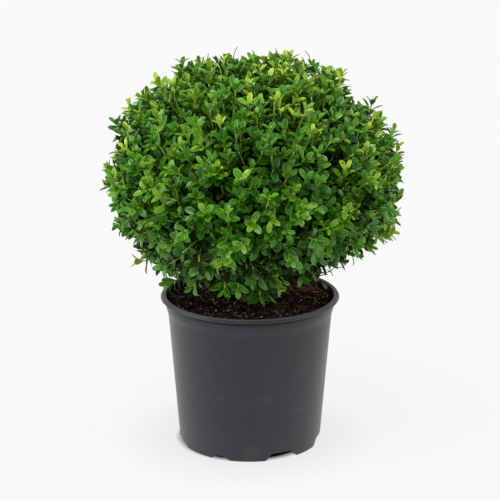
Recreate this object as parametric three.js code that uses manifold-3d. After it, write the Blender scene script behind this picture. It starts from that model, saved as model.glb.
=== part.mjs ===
// Box topiary ball: a clipped box shrub, one round crown on a short hidden stem, in a black
// plastic nursery pot. Millimetres, +Z up. The origin is the middle of the circle on which
// the pot's feet stand, and the front of the pot looks along -Y.

import * as THREE from "three";
import { mergeVertices } from "three/addons/utils/BufferGeometryUtils.js";
import Module from "manifold-3d";

const wasm = await Module();
wasm.setup();

// ---------------------------------------------------------------- driving dimensions

const POT_HEIGHT = 192;
const POT_RIM_RADIUS = 111; // outside of the rolled lip
const POT_BASE_RADIUS = 87.6; // outside of the wall at the floor
const POT_SHOULDER_RADIUS = 101.9; // outside of the wall just under the collar
const POT_SHOULDER_Z = 171.5;
const COLLAR_RADIUS = 104.6;
const COLLAR_Z = 174.2; // lowest edge of the straight collar
const LIP_DROP = 4.8; // height of the lip's turned-down skirt
const WALL = 1.8;
const POT_SIDES = 48;

const FOOT_HEIGHT = 8; // clearance under the raised middle of the base
const FOOT_RING_WIDTH = 15;
const NOTCHES = 7; // drainage notches between the feet
const FIRST_NOTCH = 27; // degrees to the right of the front
const NOTCH_HALF_WIDTH = 14.6; // half the notch's width at its roof
const NOTCH_SLOPE = 7.5; // how much wider each side is at the floor
const SMALL_NOTCH = 6; // this notch is lower and narrower than the rest
const SMALL_NOTCH_SCALE = 0.5;
const SMALL_NOTCH_HEIGHT = 3.4;
const DRAIN_HOLE_RADIUS = 4;

const SOIL_Z = 182; // level of the compost
const SOIL_BUMP = 1.6; // height of its uneven lumps
const GAP = 0.3; // clearance between pieces that touch

const STEM_HEIGHT = 66; // from the compost to the fork
const STEM_FOOT_RADIUS = 9.5;
const STEM_TIP_RADIUS = 6;
const STEM_FLARE = 4.5; // extra radius of the root flare at the compost
const STEM_LEAN = new THREE.Vector2(5, -3); // how far the tip stands off the foot

const CROWN_CENTRE = new THREE.Vector3(2, 0, 342);
const CROWN_RADIUS = 181; // clipped outline, level
const CROWN_HALF_HEIGHT = 150; // clipped outline, upright
const CORE_SHARE = 0.82; // the core's size as a share of the clipped outline
const SHOOTS = 88; // twigs that stand out of the core
const STRAY_EVERY = 7; // each such shoot has grown past the clipped outline
const STRAY_REACH = 1.05;
const STRAY_ABOVE = 0.2; // they grow only on the upper part, as a share of its half height
const LEAF_LENGTH = 37;
const LEAF_WIDTH = 16;
const LEAF_THICKNESS = 1.5;
const TWIG_RADIUS = 1.7;
const CROWN_FLOOR = SOIL_Z + 6; // no leaf hangs lower than this
const SHORTEST_EDGE = 0.05; // shorter edges left by joining are closed up
const SEED = 20418;

// ---------------------------------------------------------------- helpers

/** A small seeded generator: the same numbers in the same order each time. */
function makeRandom(seed) {
  let state = seed;
  return () => {
    state = (state + 0x6d2b79f5) | 0;
    let t = Math.imul(state ^ (state >>> 15), 1 | state);
    t = (t + Math.imul(t ^ (t >>> 7), 61 | t)) ^ t;
    return ((t ^ (t >>> 14)) >>> 0) / 4294967296;
  };
}

/** Turns a closed geometry into a solid that can be cut and joined. */
function toSolid(geometry) {
  const bare = geometry.clone();
  bare.deleteAttribute("normal");
  bare.deleteAttribute("uv");
  const merged = mergeVertices(bare, 1e-4);
  const vertProperties = Float32Array.from(merged.attributes.position.array);
  const triVerts = Uint32Array.from(merged.index.array);
  return new wasm.Manifold(new wasm.Mesh({ numProp: 3, vertProperties, triVerts }));
}

/** Turns a solid back into a geometry. */
function toGeometry(solid) {
  const mesh = solid.getMesh();
  const geometry = new THREE.BufferGeometry();
  const positions = new THREE.BufferAttribute(Float32Array.from(mesh.vertProperties), 3);
  geometry.setAttribute("position", positions);
  geometry.setIndex(Array.from(mesh.triVerts));
  geometry.computeVertexNormals();
  return geometry;
}

/** Keeps the largest loose piece of a solid, and drops scraps. */
function largestPiece(solid) {
  const pieces = solid.decompose();
  pieces.sort((a, b) => b.volume() - a.volume());
  return pieces[0];
}

/** A geometry turned about the Z axis from a profile of [radius, z] pairs. */
function turned(profile, sides) {
  const points = profile.map(([radius, z]) => new THREE.Vector2(radius, z));
  const geometry = new THREE.LatheGeometry(points, sides);
  geometry.rotateX(Math.PI / 2);
  return geometry;
}

/** A closed geometry from rings of points, each ring with the same count, ends capped. */
function loft(rings) {
  const count = rings[0].length;
  const points = rings.flat();
  const indices = [];
  for (let ring = 0; ring < rings.length - 1; ring += 1) {
    for (let side = 0; side < count; side += 1) {
      const a = ring * count + side;
      const b = ring * count + ((side + 1) % count);
      indices.push(a, b, b + count, a, b + count, a + count);
    }
  }
  const last = (rings.length - 1) * count;
  for (let side = 1; side < count - 1; side += 1) {
    indices.push(0, side + 1, side);
    indices.push(last, last + side, last + side + 1);
  }
  const geometry = new THREE.BufferGeometry().setFromPoints(points);
  geometry.setIndex(indices);
  return geometry;
}

/** Makes a mesh with its own material. */
function makeMesh(name, geometry, color, roughness) {
  const material = new THREE.MeshStandardMaterial({ color, roughness, metalness: 0 });
  const mesh = new THREE.Mesh(geometry, material);
  mesh.name = name;
  return mesh;
}

// ---------------------------------------------------------------- pot

/** Radius of the outside of the pot's wall at a height. */
function wallRadius(z) {
  const rise = z / POT_SHOULDER_Z;
  return POT_BASE_RADIUS + (POT_SHOULDER_RADIUS - POT_BASE_RADIUS) * rise;
}

/** Outer half of the pot's profile, from under the base to the top of the lip. */
function potOutside() {
  const footInside = POT_BASE_RADIUS - FOOT_RING_WIDTH;
  const skirtInside = POT_RIM_RADIUS - WALL;
  const grooveTop = POT_HEIGHT - WALL;
  return [
    [0, FOOT_HEIGHT],
    [footInside - 2, FOOT_HEIGHT],
    [footInside, 0],
    [POT_BASE_RADIUS - 2, 0],
    [wallRadius(1.8), 1.8],
    [POT_SHOULDER_RADIUS, POT_SHOULDER_Z],
    [COLLAR_RADIUS, COLLAR_Z],
    [COLLAR_RADIUS + 0.4, grooveTop],
    [skirtInside, grooveTop],
    [skirtInside, POT_HEIGHT - LIP_DROP],
    [POT_RIM_RADIUS, POT_HEIGHT - LIP_DROP + 0.5],
    [POT_RIM_RADIUS, POT_HEIGHT - 1.6],
    [POT_RIM_RADIUS - 1.6, POT_HEIGHT],
  ];
}

/** Inner half of the pot's profile, from the lip down to the middle, set in by a distance. */
function potInside(inset) {
  const footInside = POT_BASE_RADIUS - FOOT_RING_WIDTH;
  return [
    [POT_RIM_RADIUS - 5.2 - inset, POT_HEIGHT],
    [COLLAR_RADIUS - WALL + 0.6 - inset, POT_HEIGHT - 2],
    [COLLAR_RADIUS - WALL - inset, COLLAR_Z + 0.6],
    [POT_SHOULDER_RADIUS - WALL - inset, POT_SHOULDER_Z - 0.6],
    [wallRadius(WALL) - WALL - inset, WALL + 1.5 + inset],
    [wallRadius(WALL) - WALL - 1.5 - inset, WALL + inset],
    [footInside + WALL + inset, WALL + inset],
    [footInside - 2 + WALL + inset, FOOT_HEIGHT + WALL + inset],
    [0, FOOT_HEIGHT + WALL + inset],
  ];
}

/** A wedge that lies across the foot ring: the notch itself, or larger by a wall. */
function notchSolid(index, grown) {
  const small = index === SMALL_NOTCH;
  const scale = small ? SMALL_NOTCH_SCALE : 1;
  const roof = (small ? SMALL_NOTCH_HEIGHT : FOOT_HEIGHT) + grown;
  const halfRoof = NOTCH_HALF_WIDTH * scale + grown;
  const halfFloor = halfRoof + NOTCH_SLOPE * scale + grown;
  const shape = new THREE.Shape();
  shape.moveTo(-halfFloor, -1);
  shape.lineTo(halfFloor, -1);
  shape.lineTo(halfRoof, roof);
  shape.lineTo(-halfRoof, roof);
  shape.closePath();
  const inner = POT_BASE_RADIUS - FOOT_RING_WIDTH - 8 - grown;
  const outer = POT_BASE_RADIUS + 8;
  const geometry = new THREE.ExtrudeGeometry(shape, { depth: outer - inner, bevelEnabled: false });
  geometry.rotateX(Math.PI / 2);
  geometry.translate(0, -inner, 0);
  const turn = FIRST_NOTCH + (index * 360) / NOTCHES;
  geometry.rotateZ(THREE.MathUtils.degToRad(turn));
  return toSolid(geometry);
}

/** All notches joined in one solid. */
function allNotches(grown) {
  const list = [];
  for (let index = 0; index < NOTCHES; index += 1) {
    list.push(notchSolid(index, grown));
  }
  return wasm.Manifold.union(list);
}

/** Round drainage holes through the roofs of the large notches. */
function drainHoles() {
  const list = [];
  for (let index = 0; index < NOTCHES; index += 1) {
    if (index === SMALL_NOTCH) {
      continue;
    }
    const hole = new THREE.CylinderGeometry(DRAIN_HOLE_RADIUS, DRAIN_HOLE_RADIUS, 8, 10);
    hole.rotateX(Math.PI / 2);
    hole.translate(0, -(POT_BASE_RADIUS - 9), FOOT_HEIGHT + 1);
    hole.rotateZ(THREE.MathUtils.degToRad(FIRST_NOTCH + (index * 360) / NOTCHES));
    list.push(toSolid(hole));
  }
  return wasm.Manifold.union(list);
}

/** The pot: a thin turned shell on seven feet, with a collar and a rolled lip. */
function makePot() {
  const shell = toSolid(turned([...potOutside(), ...potInside(0)], POT_SIDES));
  const filled = toSolid(turned([...potOutside(), [0, POT_HEIGHT]], POT_SIDES));
  const roofs = allNotches(WALL).intersect(filled);
  const solid = shell.add(roofs).subtract(allNotches(0)).subtract(drainHoles());
  return makeMesh("pot", toGeometry(largestPiece(solid)), 0x3d3d41, 0.5);
}

// ---------------------------------------------------------------- compost

/** Height of the compost above its level at a place, in smooth lumps that fade at the stem. */
function soilLump(x, y) {
  const radius = Math.hypot(x, y);
  const fade = THREE.MathUtils.smoothstep(radius, 24, 45);
  const broad = Math.sin(x * 0.11 + 1.3) * Math.cos(y * 0.13 - 0.4);
  const fine = 0.5 * Math.sin(x * 0.23 - y * 0.19);
  return (SOIL_BUMP * fade * (broad + fine)) / 1.5;
}

/** The compost: it fills the pot to just under the rim. */
function makeCompost() {
  const inside = potInside(GAP).slice(2).reverse();
  const edge = COLLAR_RADIUS - WALL - GAP;
  const top = [edge, 88, 72, 56, 40, 20];
  const profile = [...inside, ...top.map((radius) => [radius, SOIL_Z]), [0, SOIL_Z]];
  const geometry = turned(profile, POT_SIDES);
  const position = geometry.attributes.position;
  for (let i = 0; i < position.count; i += 1) {
    if (position.getZ(i) > SOIL_Z - 1) {
      position.setZ(i, SOIL_Z + soilLump(position.getX(i), position.getY(i)));
    }
  }
  const solid = toSolid(geometry).subtract(allNotches(WALL + GAP));
  return makeMesh("compost", toGeometry(largestPiece(solid)), 0x1d1815, 0.95);
}

// ---------------------------------------------------------------- main stem

/** Middle of the stem at a share of its height. */
function stemAxis(share) {
  const bend = share * share;
  const z = SOIL_Z + GAP + STEM_HEIGHT * share;
  return new THREE.Vector3(STEM_LEAN.x * bend, STEM_LEAN.y * bend, z);
}

/** Radius of the stem at a share of its height and an angle round it. */
function stemRadius(share, angle) {
  const taper = STEM_FOOT_RADIUS + (STEM_TIP_RADIUS - STEM_FOOT_RADIUS) * share;
  const lobes = 0.65 + 0.35 * Math.cos(angle * 5 + 0.7);
  return taper + STEM_FLARE * lobes * Math.exp(-share * 9);
}

/** The short stem, from its flat cut at the compost to its fork inside the crown. */
function makeStem() {
  const rings = [];
  for (const share of [0, 0.05, 0.12, 0.22, 0.36, 0.55, 0.78, 1]) {
    const middle = stemAxis(share);
    const ring = [];
    for (let side = 0; side < 16; side += 1) {
      const angle = (side / 16) * Math.PI * 2;
      const radius = stemRadius(share, angle);
      ring.push(middle.clone().add(new THREE.Vector3(Math.cos(angle) * radius, Math.sin(angle) * radius, 0)));
    }
    rings.push(ring);
  }
  return makeMesh("main_stem", loft(rings), 0x6a5b45, 0.85);
}

// ---------------------------------------------------------------- crown

const random = makeRandom(SEED);

/** A place in the crown's own units, where the clipped outline is the unit sphere. */
function crownPoint(unit) {
  return new THREE.Vector3(
    CROWN_CENTRE.x + unit.x * CROWN_RADIUS,
    CROWN_CENTRE.y + unit.y * CROWN_RADIUS,
    CROWN_CENTRE.z + unit.z * CROWN_HALF_HEIGHT,
  );
}

/** How far out a place lies, as a share of the clipped outline. */
function crownShare(point) {
  const x = (point.x - CROWN_CENTRE.x) / CROWN_RADIUS;
  const y = (point.y - CROWN_CENTRE.y) / CROWN_RADIUS;
  const z = (point.z - CROWN_CENTRE.z) / CROWN_HALF_HEIGHT;
  return Math.hypot(x, y, z);
}

/** Even directions over the whole crown, by the golden angle. */
function shootDirections(count) {
  const golden = Math.PI * (3 - Math.sqrt(5));
  const list = [];
  for (let i = 0; i < count; i += 1) {
    const z = 1 - (2 * (i + 0.5)) / count;
    const radius = Math.sqrt(1 - z * z);
    list.push(new THREE.Vector3(Math.cos(i * golden) * radius, Math.sin(i * golden) * radius, z));
  }
  return list;
}

/** A tapering limb between two points, three-sided unless told otherwise. */
function limb(from, to, fromRadius, toRadius, sides = 3) {
  const along = to.clone().sub(from).normalize();
  const side = Math.abs(along.z) > 0.9 ? new THREE.Vector3(1, 0, 0) : new THREE.Vector3(0, 0, 1);
  const across = new THREE.Vector3().crossVectors(along, side).normalize();
  const other = new THREE.Vector3().crossVectors(along, across);
  const ringAt = (middle, radius) => {
    const ring = [];
    for (let i = 0; i < sides; i += 1) {
      const angle = (i / sides) * Math.PI * 2;
      ring.push(
        middle
          .clone()
          .addScaledVector(across, Math.cos(angle) * radius)
          .addScaledVector(other, Math.sin(angle) * radius),
      );
    }
    return ring;
  };
  return toSolid(loft([ringAt(from, fromRadius), ringAt(to, toRadius)]));
}

/** The eight-faced leaf: a kite with a raised midrib, from root to tip. */
function leafPoints(root, along, across, length, width) {
  const up = new THREE.Vector3().crossVectors(across, along).normalize();
  const middle = root.clone().addScaledVector(along, length * 0.56);
  return [
    root,
    middle.clone().addScaledVector(across, -width / 2).addScaledVector(up, width * 0.08),
    middle.clone().addScaledVector(across, width / 2).addScaledVector(up, width * 0.08),
    middle.clone().addScaledVector(up, LEAF_THICKNESS / 2 - width * 0.05),
    middle.clone().addScaledVector(up, -LEAF_THICKNESS / 2 - width * 0.05),
    root.clone().addScaledVector(along, length),
  ];
}

/** Joins a leaf's six points into a solid. */
function leafSolid(points) {
  const geometry = new THREE.BufferGeometry().setFromPoints(points);
  geometry.setIndex([0, 3, 1, 0, 2, 3, 0, 1, 4, 0, 4, 2, 5, 1, 3, 5, 3, 2, 5, 4, 1, 5, 2, 4]);
  return toSolid(geometry);
}

/** A shoot's straight axis: its root in the core, its tip, and the end of its last leaf. */
function shootAxis(direction, index) {
  const stray = direction.z > STRAY_ABOVE && index % STRAY_EVERY === 0;
  const reach = stray ? STRAY_REACH : 0.985 + 0.015 * random();
  const lean = new THREE.Vector3(random() - 0.5, random() - 0.5, random() - 0.5);
  const aim = direction.clone().addScaledVector(lean, 0.16).normalize();
  const start = crownPoint(direction.clone().multiplyScalar(CORE_SHARE - 0.06));
  const tip = crownPoint(aim.clone().multiplyScalar(reach - 0.1));
  const end = crownPoint(aim.multiplyScalar(reach - 0.003));
  return { start, tip, end, reach };
}

/** Leaves in crossed pairs up a shoot and one at its tip; a leaf past the reach is skipped. */
function shootLeaves(axis) {
  const along = axis.tip.clone().sub(axis.start).normalize();
  const seedAxis = new THREE.Vector3(random() - 0.5, random() - 0.5, random() - 0.5);
  const first = new THREE.Vector3().crossVectors(along, seedAxis).normalize();
  const second = new THREE.Vector3().crossVectors(along, first);
  const list = [];
  const grow = (share, away, opening, size) => {
    const root = axis.start.clone().lerp(axis.tip, share);
    const heading = along.clone().multiplyScalar(Math.cos(opening));
    heading.addScaledVector(away, Math.sin(opening)).normalize();
    const across = new THREE.Vector3().crossVectors(heading, along).normalize();
    const points = leafPoints(root, heading, across, LEAF_LENGTH * size, LEAF_WIDTH * size);
    const fits = points.every((p) => crownShare(p) < axis.reach && p.z > CROWN_FLOOR);
    if (fits) {
      list.push(leafSolid(points));
    }
  };
  grow(0.52, first, 1.12, 1);
  grow(0.54, first.clone().negate(), 1.05, 1);
  grow(0.74, second, 0.95, 0.92);
  grow(0.76, second.clone().negate(), 1.0, 0.92);
  const last = axis.tip.clone().addScaledVector(along, -2);
  const across = new THREE.Vector3().crossVectors(first, along).normalize();
  const length = axis.end.distanceTo(last);
  if (axis.end.z > CROWN_FLOOR) {
    const heading = axis.end.clone().sub(last).normalize();
    list.push(leafSolid(leafPoints(last, heading, across, length, LEAF_WIDTH * 0.7)));
  }
  return list;
}

/** Limbs that fork from one point towards a set of shoots, until each shoot is reached. */
function growLimbs(from, shoots) {
  if (shoots.length === 1) {
    return [limb(from, shoots[0].start, 1.9, TWIG_RADIUS)];
  }
  const low = new THREE.Vector3(Infinity, Infinity, Infinity);
  const high = new THREE.Vector3(-Infinity, -Infinity, -Infinity);
  shoots.forEach((shoot) => {
    low.min(shoot.start);
    high.max(shoot.start);
  });
  const span = high.sub(low).toArray();
  const key = ["x", "y", "z"][span.indexOf(Math.max(...span))];
  const sorted = [...shoots].sort((a, b) => a.start[key] - b.start[key]);
  const half = Math.ceil(sorted.length / 2);
  const list = [];
  for (const group of [sorted.slice(0, half), sorted.slice(half)]) {
    const mean = new THREE.Vector3();
    group.forEach((shoot) => mean.addScaledVector(shoot.start, 1 / group.length));
    const fork = from.clone().lerp(mean, 0.42);
    const radius = Math.min(5, 1.5 + 0.32 * Math.sqrt(group.length));
    list.push(limb(from, fork, radius + 0.2, radius), ...growLimbs(fork, group));
  }
  return list;
}

/** The core: a lumpy ball that fills the inside of the crown, cut clear of the main stem. */
function coreSolid() {
  const ball = new THREE.IcosahedronGeometry(1, 5);
  const position = ball.attributes.position;
  for (let i = 0; i < position.count; i += 1) {
    const unit = new THREE.Vector3().fromBufferAttribute(position, i).normalize();
    const lumps = Math.sin(unit.x * 9 + 1) * Math.sin(unit.y * 8 + 2) * Math.cos(unit.z * 7);
    const point = crownPoint(unit.multiplyScalar(CORE_SHARE + 0.022 * lumps));
    position.setXYZ(i, point.x, point.y, point.z);
  }
  return toSolid(ball);
}

/** Room for the main stem in the core, open at the bottom, a little wider than the stem. */
function stemRoom() {
  const rings = [-0.4, 0.1, 0.5, 1].map((share) => {
    const middle = stemAxis(share);
    const radius = STEM_FOOT_RADIUS + 2.5;
    const ring = [];
    for (let side = 0; side < 10; side += 1) {
      const angle = (side / 10) * Math.PI * 2;
      ring.push(middle.clone().add(new THREE.Vector3(Math.cos(angle) * radius, Math.sin(angle) * radius, 0)));
    }
    return ring;
  });
  rings[3].forEach((point) => {
    point.z += GAP;
  });
  return toSolid(loft(rings));
}

/** The crown: limbs, shoots and leaves fused to the core, in one solid. */
function makeCrown() {
  const fork = stemAxis(1).add(new THREE.Vector3(0, 0, GAP));
  const shoots = shootDirections(SHOOTS)
    .map((direction, index) => shootAxis(direction, index))
    .filter((axis) => axis.start.z > CROWN_FLOOR && axis.tip.z > CROWN_FLOOR);
  const heart = fork.clone().add(new THREE.Vector3(0, 0, 34));
  const list = [coreSolid(), limb(fork, heart, STEM_TIP_RADIUS, 5, 10)];
  list.push(...growLimbs(heart, shoots));
  shoots.forEach((axis) => {
    list.push(limb(axis.start, axis.tip, TWIG_RADIUS, TWIG_RADIUS * 0.6));
    list.push(...shootLeaves(axis));
  });
  const solid = wasm.Manifold.union(list).subtract(stemRoom());
  const clean = largestPiece(solid).simplify(SHORTEST_EDGE);
  return makeMesh("crown", toGeometry(clean), 0x3c7a22, 0.55);
}

// ---------------------------------------------------------------- the whole plant

const topiaryBall = new THREE.Group();
topiaryBall.add(makePot(), makeCompost(), makeStem(), makeCrown());

export default topiaryBall;
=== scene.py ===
"""Box topiary ball: a clipped box shrub in a black plastic nursery pot.

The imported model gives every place. This script adds what the eye sees: the moulded pot,
the crumbly compost, the barked stem, and the crown of boughs, twigs, shoots and leaves,
all worked out as numpy surfaces in metres, +Z up.
"""

import logging
import math
from dataclasses import dataclass, field, fields
from enum import Enum

import bpy
import numpy as np
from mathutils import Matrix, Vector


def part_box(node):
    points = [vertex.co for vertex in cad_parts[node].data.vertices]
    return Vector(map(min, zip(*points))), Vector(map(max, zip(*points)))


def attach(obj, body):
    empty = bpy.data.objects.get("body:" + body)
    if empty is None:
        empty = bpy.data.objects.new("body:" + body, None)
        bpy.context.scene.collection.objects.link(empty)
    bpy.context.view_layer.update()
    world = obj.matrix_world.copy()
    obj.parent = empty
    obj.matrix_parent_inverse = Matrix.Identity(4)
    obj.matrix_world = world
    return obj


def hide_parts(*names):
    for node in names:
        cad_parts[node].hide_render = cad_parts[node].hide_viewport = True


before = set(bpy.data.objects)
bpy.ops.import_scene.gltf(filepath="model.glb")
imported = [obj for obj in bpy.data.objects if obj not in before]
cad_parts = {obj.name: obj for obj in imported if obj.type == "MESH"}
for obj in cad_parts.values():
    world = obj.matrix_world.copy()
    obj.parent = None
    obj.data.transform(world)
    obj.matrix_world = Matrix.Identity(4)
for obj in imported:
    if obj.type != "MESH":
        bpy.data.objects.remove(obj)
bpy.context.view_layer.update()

LOG = logging.getLogger("topiary")
MM = 0.001
CHART = "leaf"

Color = tuple[float, float, float, float]
Span = tuple[float, float]
Output = bpy.types.NodeSocket
Sockets = bpy.types.bpy_prop_collection


# ------------------------------------------------------------------ numbers and vectors


def unit(vectors: np.ndarray) -> np.ndarray:
    """Vectors scaled to length one along the last axis."""
    return vectors / np.maximum(np.linalg.norm(vectors, axis=-1, keepdims=True), 1e-9)


def linear(red: float, green: float, blue: float) -> Color:
    """A display colour of 0 to 255 as the linear colour that shaders take, by sRGB's curve.

    Args:
        red: Display red.
        green: Display green.
        blue: Display blue.

    Returns:
        Linear red, green, blue and an alpha of one.
    """
    share = np.array([red, green, blue]) / 255.0
    value = np.where(share <= 0.04045, share / 12.92, ((share + 0.055) / 1.055) ** 2.4)
    return float(value[0]), float(value[1]), float(value[2]), 1.0


def waves(points: np.ndarray, length: float, seed: int, count: int = 9) -> np.ndarray:
    """Smooth seeded noise: the mean of sine waves that run in random directions.

    Each wave is sin(2 pi p.d / (length f) + phase), with f spread between 0.7 and 1.4.

    Args:
        points: Places, the last axis holding x, y, z.
        length: Typical wavelength in metres.
        seed: Seed of the directions and phases.
        count: How many waves are summed.

    Returns:
        One value per point, mostly between -1 and 1.
    """
    rng = np.random.default_rng(seed)
    directions = unit(rng.normal(size=(count, 3)))
    stretch = rng.uniform(0.7, 1.4, count) * length
    phase = rng.uniform(0, 2 * np.pi, count)
    angle = points @ directions.T * (2 * np.pi / stretch) + phase
    return np.sin(angle).sum(-1) / math.sqrt(count)


def fill_in(points: np.ndarray, step: float) -> np.ndarray:
    """A profile with more points along its long edges.

    Args:
        points: Profile points, shape (count, 2).
        step: The longest edge that is left.

    Returns:
        The same profile, with its edges cut into even parts.
    """
    length = np.linalg.norm(np.diff(points, axis=0), axis=1)
    parts = np.maximum(np.ceil(length / step).astype(int), 1)
    edge = np.repeat(np.arange(len(parts)), parts)
    first = np.cumsum(parts) - parts
    share = ((np.arange(parts.sum()) - first[edge]) / parts[edge])[:, None]
    return np.concatenate([points[edge] * (1 - share) + points[edge + 1] * share, points[-1:]])


# ------------------------------------------------------------------ meshes


@dataclass
class Shell:
    """Points, faces and an optional flat map of one mesh."""

    points: np.ndarray
    faces: list[np.ndarray]
    chart: np.ndarray | None = None

    def triangles(self) -> int:
        """How many triangles the faces come to."""
        return sum(len(block) * (block.shape[1] - 2) for block in self.faces)


def grid_faces(rows: int, columns: int, wrap: bool) -> np.ndarray:
    """Quads of a grid of rows by columns points, numbered row by row.

    Args:
        rows: Number of rows.
        columns: Number of points in a row.
        wrap: Whether the last column joins the first.

    Returns:
        Quad corners, shape (quads, 4).
    """
    row = np.arange(rows - 1)[:, None] * columns
    start = np.arange(columns if wrap else columns - 1)[None, :]
    after = (start + 1) % columns
    quad = np.stack([row + start, row + after, row + columns + after, row + columns + start], -1)
    return quad.reshape(-1, 4)


def end_fans(around: int, last: int, low: int, high: int) -> np.ndarray:
    """Triangles that draw the first and the last ring of a grid to one point each.

    Args:
        around: Points in a ring.
        last: Number of the last ring's first point.
        low: Number of the point that closes the first ring.
        high: Number of the point that closes the last ring.

    Returns:
        Triangle corners, shape (2 around, 3).
    """
    near = np.arange(around)
    after = (near + 1) % around
    first = np.stack([np.full(around, low), after, near], -1)
    final = np.stack([np.full(around, high), last + near, last + after], -1)
    return np.concatenate([first, final])


def turned_shell(radius: np.ndarray, height: np.ndarray) -> Shell:
    """A closed shell turned about Z from radius and height grids, poles at both ends.

    Point (i, j) is (r cos a, r sin a, z), with a = 2 pi j / columns; the first and last
    rows stand on the axis and are one point each.

    Args:
        radius: Radii, shape (rows, columns).
        height: Heights, the same shape.

    Returns:
        The shell, with the rows running so that faces look outwards when the profile goes
        from the bottom pole over the outside to the top pole.
    """
    rows, columns = radius.shape
    angle = np.linspace(0, 2 * np.pi, columns, endpoint=False)[None, :]
    body = np.stack([radius * np.cos(angle), radius * np.sin(angle), height], -1)[1:-1]
    points = body.reshape(-1, 3)
    poles = np.array([[0, 0, height[0, 0]], [0, 0, height[-1, 0]]])
    fans = end_fans(columns, (rows - 3) * columns, len(points), len(points) + 1)
    return Shell(np.concatenate([points, poles]), [grid_faces(rows - 2, columns, True), fans])


def swept_tubes(paths: np.ndarray, radii: np.ndarray, sides: int) -> Shell:
    """Closed tubes along many paths at once, each end closed by a point.

    A ring stands square to its path: p + r (cos a u + sin a v), where u and v are square
    to the local direction.

    Args:
        paths: Points, shape (tubes, steps, 3).
        radii: Radii, shape (tubes, steps).
        sides: Points in a ring.

    Returns:
        All tubes in one shell.
    """
    tubes, steps, _ = paths.shape
    along = unit(np.gradient(paths, axis=1))
    upright = np.abs(along[:, :1, 2:3]) > 0.8
    aside = np.where(upright, np.array([1.0, 0, 0]), np.array([0, 0, 1.0]))
    across = unit(np.cross(along, np.broadcast_to(aside, along.shape)))
    other = np.cross(along, across)
    angle = np.linspace(0, 2 * np.pi, sides, endpoint=False)[:, None]
    ring = across[:, :, None] * np.cos(angle) + other[:, :, None] * np.sin(angle)
    body = paths[:, :, None] + ring * radii[:, :, None, None]
    count = steps * sides
    ends = np.stack([paths[:, 0], paths[:, -1]], 1)
    points = np.concatenate([body.reshape(tubes, count, 3), ends], 1)
    shift = (np.arange(tubes) * (count + 2))[:, None, None]
    quads = grid_faces(steps, sides, True)[None] + shift
    fans = end_fans(sides, count - sides, count, count + 1)[None] + shift
    return Shell(points.reshape(-1, 3), [quads.reshape(-1, 4), fans.reshape(-1, 3)])


def make_piece(name: str, shell: Shell, material: bpy.types.Material) -> bpy.types.Object:
    """Puts a shell into a smooth mesh object at the origin and logs it.

    Args:
        name: The piece's name.
        shell: Its points and faces.
        material: Its finish.

    Returns:
        The new object, linked to the scene.
    """
    mesh = bpy.data.meshes.new(name)
    corners = np.concatenate([block.ravel() for block in shell.faces]).astype(np.int32)
    sizes = np.concatenate([np.full(len(block), block.shape[1]) for block in shell.faces])
    starts = np.concatenate([[0], np.cumsum(sizes)[:-1]]).astype(np.int32)
    mesh.vertices.add(len(shell.points))
    mesh.vertices.foreach_set("co", shell.points.astype(np.float32).ravel())
    mesh.loops.add(len(corners))
    mesh.loops.foreach_set("vertex_index", corners)
    mesh.polygons.add(len(sizes))
    mesh.polygons.foreach_set("loop_start", starts)
    mesh.polygons.foreach_set("use_smooth", np.ones(len(sizes), bool))
    if shell.chart is not None:
        layer = mesh.uv_layers.new(name=CHART)
        layer.data.foreach_set("uv", shell.chart[corners].astype(np.float32).ravel())
    mesh.update(calc_edges=True)
    mesh.materials.append(material)
    piece = bpy.data.objects.new(name, mesh)
    bpy.context.scene.collection.objects.link(piece)
    LOG.info("%s: %d points, %d triangles", name, len(shell.points), shell.triangles())
    return piece


def add_piece(
    name: str, shell: Shell, material: bpy.types.Material, node: str
) -> None:
    """Adds a piece that rides on the plant and stands for a node.

    Args:
        name: The piece's name.
        shell: Its points and faces.
        material: Its finish.
        node: The node that it replaces.
    """
    piece = make_piece(name, shell, material)
    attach(piece, "root")
    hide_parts(node)


# ------------------------------------------------------------------ shader groups


class Socket(Enum):
    """Kinds of node group sockets."""

    COLOR = "NodeSocketColor"
    VALUE = "NodeSocketFloat"


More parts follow.
